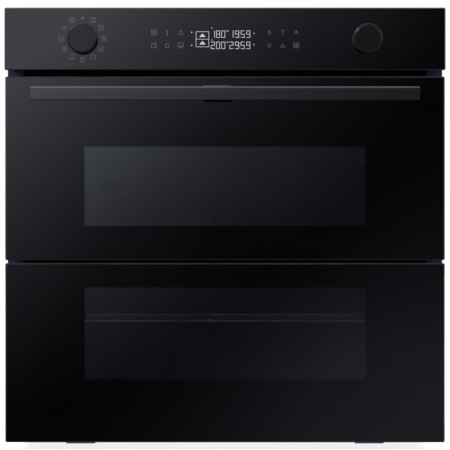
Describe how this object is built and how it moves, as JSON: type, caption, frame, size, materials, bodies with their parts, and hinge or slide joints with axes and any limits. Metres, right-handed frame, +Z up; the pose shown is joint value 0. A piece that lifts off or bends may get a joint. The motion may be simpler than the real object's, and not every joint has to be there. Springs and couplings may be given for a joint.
{
  "type": "wall oven",
  "caption": "Built-in wall oven with a split drop-down glass door, bar handle with centre lever, two round knobs and a divided fan cavity.",
  "frame": {"origin": "centre of the overall box at the height of the base runners' undersides", "axes": "+X to the right as seen from the front, +Y from the front towards the rear, +Z up"},
  "size_m": [0.595, 0.613, 0.596],
  "materials": {
    "black_glass": "gloss black ceramic print on toughened glass",
    "clear_glass": "clear heat-reflecting glass",
    "navy_enamel": "satin dark blue enamel",
    "grey_enamel": "speckled grey enamel",
    "galvanised_steel": "zinc-coated sheet",
    "dark_steel": "satin dark steel",
    "dark_aluminium": "dark anodised, fine brushed",
    "chrome_wire": "polished wire",
    "element_steel": "heat-darkened sheath",
    "aluminium": "satin",
    "black_plastic": "fine textured",
    "white_plastic": "matte",
    "circuit_board": "solder mask",
    "mineral_wool": "fibrous",
    "seal_rubber": "matte"
  },
  "bodies": {
    "root": {"air_duct": "galvanised_steel", "base_plate": "galvanised_steel", "blower_housing": "galvanised_steel", "blower_motor": "galvanised_steel", "bottom_element": "element_steel", "cavity_gasket": "seal_rubber", "cavity_liner": "grey_enamel", "control_board": "circuit_board", "control_glass": "black_glass", "display_module": "black_plastic", "front_frame": "navy_enamel", "grill_element": "element_steel", "insulation_wrap": "mineral_wool", "left_hinge_arm": "galvanised_steel", "left_side_panel": "galvanised_steel", "left_side_rack": "chrome_wire", "lower_fan_cover": "grey_enamel", "lower_fan_motor": "galvanised_steel", "lower_lamp_holder": "white_plastic", "lower_lamp_lens": "clear_glass", "lower_ring_element": "element_steel", "lower_temperature_sensor": "galvanised_steel", "mode_encoder": "white_plastic", "panel_carrier": "black_plastic", "power_board": "circuit_board", "rear_panel": "galvanised_steel", "right_hinge_arm": "galvanised_steel", "right_side_panel": "galvanised_steel", "right_side_rack": "chrome_wire", "service_shelf": "galvanised_steel", "terminal_box": "black_plastic", "top_cover": "galvanised_steel", "upper_fan_cover": "grey_enamel", "upper_fan_motor": "galvanised_steel", "upper_lamp_holder": "white_plastic", "upper_lamp_lens": "clear_glass", "upper_ring_element": "element_steel", "upper_temperature_sensor": "galvanised_steel", "value_encoder": "white_plastic"},
    "lower_door": {"door_frame": "dark_steel", "lower_outer_glass": "black_glass", "lower_inner_glass": "clear_glass", "left_hinge_body": "galvanised_steel", "right_hinge_body": "galvanised_steel"},
    "upper_door": {"upper_door_frame": "dark_steel", "upper_outer_glass": "black_glass", "upper_inner_glass": "clear_glass", "handle_bar": "dark_aluminium", "left_handle_post": "dark_aluminium", "right_handle_post": "dark_aluminium"},
    "lever": {"door_lever": "dark_aluminium"},
    "left_latch": {"left_latch_bolt": "galvanised_steel"},
    "right_latch": {"right_latch_bolt": "galvanised_steel"},
    "mode_knob": {"mode_knob": "dark_aluminium"},
    "value_knob": {"value_knob": "dark_aluminium"},
    "upper_fan": {"upper_fan_wheel": "galvanised_steel"},
    "lower_fan": {"lower_fan_wheel": "galvanised_steel"},
    "blower": {"blower_wheel": "aluminium"},
    "wire_rack": {"wire_rack": "chrome_wire"},
    "divider": {"divider_plate": "grey_enamel"}
  },
  "joints": [
    {"name": "door_hinge", "type": "hinge", "parent": "root", "child": "lower_door", "pos_m": [0, -0.2515, 0.02], "axis": [1, 0, 0], "range_deg": [0, 90], "stiffness_Nm_per_rad": 6, "springref_deg": -57.3},
    {"name": "upper_door_hinge", "type": "hinge", "parent": "lower_door", "child": "upper_door", "pos_m": [0, -0.2535, 0.263], "axis": [1, 0, 0], "range_deg": [0, 90], "stiffness_Nm_per_rad": 3, "springref_deg": -57.3},
    {"name": "lever_press", "type": "slide", "parent": "upper_door", "child": "lever", "axis": [0, 0, -1], "range_m": [0, 0.003], "stiffness_N_per_m": 600, "springref_m": -0.004},
    {"name": "left_latch_slide", "type": "slide", "parent": "upper_door", "child": "left_latch", "axis": [-1, 0, 0], "range_m": [0, 0.009]},
    {"name": "right_latch_slide", "type": "slide", "parent": "upper_door", "child": "right_latch", "axis": [1, 0, 0], "range_m": [0, 0.009]},
    {"name": "mode_knob_turn", "type": "hinge", "parent": "root", "child": "mode_knob", "pos_m": [-0.192, -0.2835, 0.5535], "axis": [0, -1, 0], "continuous": true},
    {"name": "value_knob_turn", "type": "hinge", "parent": "root", "child": "value_knob", "pos_m": [0.192, -0.2835, 0.5535], "axis": [0, -1, 0], "continuous": true},
    {"name": "upper_fan_spin", "type": "hinge", "parent": "root", "child": "upper_fan", "pos_m": [0, 0.207, 0.346], "axis": [0, 1, 0], "continuous": true},
    {"name": "lower_fan_spin", "type": "hinge", "parent": "root", "child": "lower_fan", "pos_m": [0, 0.207, 0.157], "axis": [0, 1, 0], "continuous": true},
    {"name": "blower_spin", "type": "hinge", "parent": "root", "child": "blower", "pos_m": [0, 0.0985, 0.523], "axis": [1, 0, 0], "continuous": true},
    {"name": "wire_rack_slide", "type": "slide", "parent": "root", "child": "wire_rack", "axis": [0, -1, 0], "range_m": [0, 0.03]},
    {"name": "divider_slide", "type": "slide", "parent": "root", "child": "divider", "axis": [0, -1, 0], "range_m": [0, 0.008]}
  ],
  "couplings": [
    {"joint": "left_latch_slide", "follows": "lever_press", "ratio": 3},
    {"joint": "right_latch_slide", "follows": "lever_press", "ratio": 3}
  ]
}
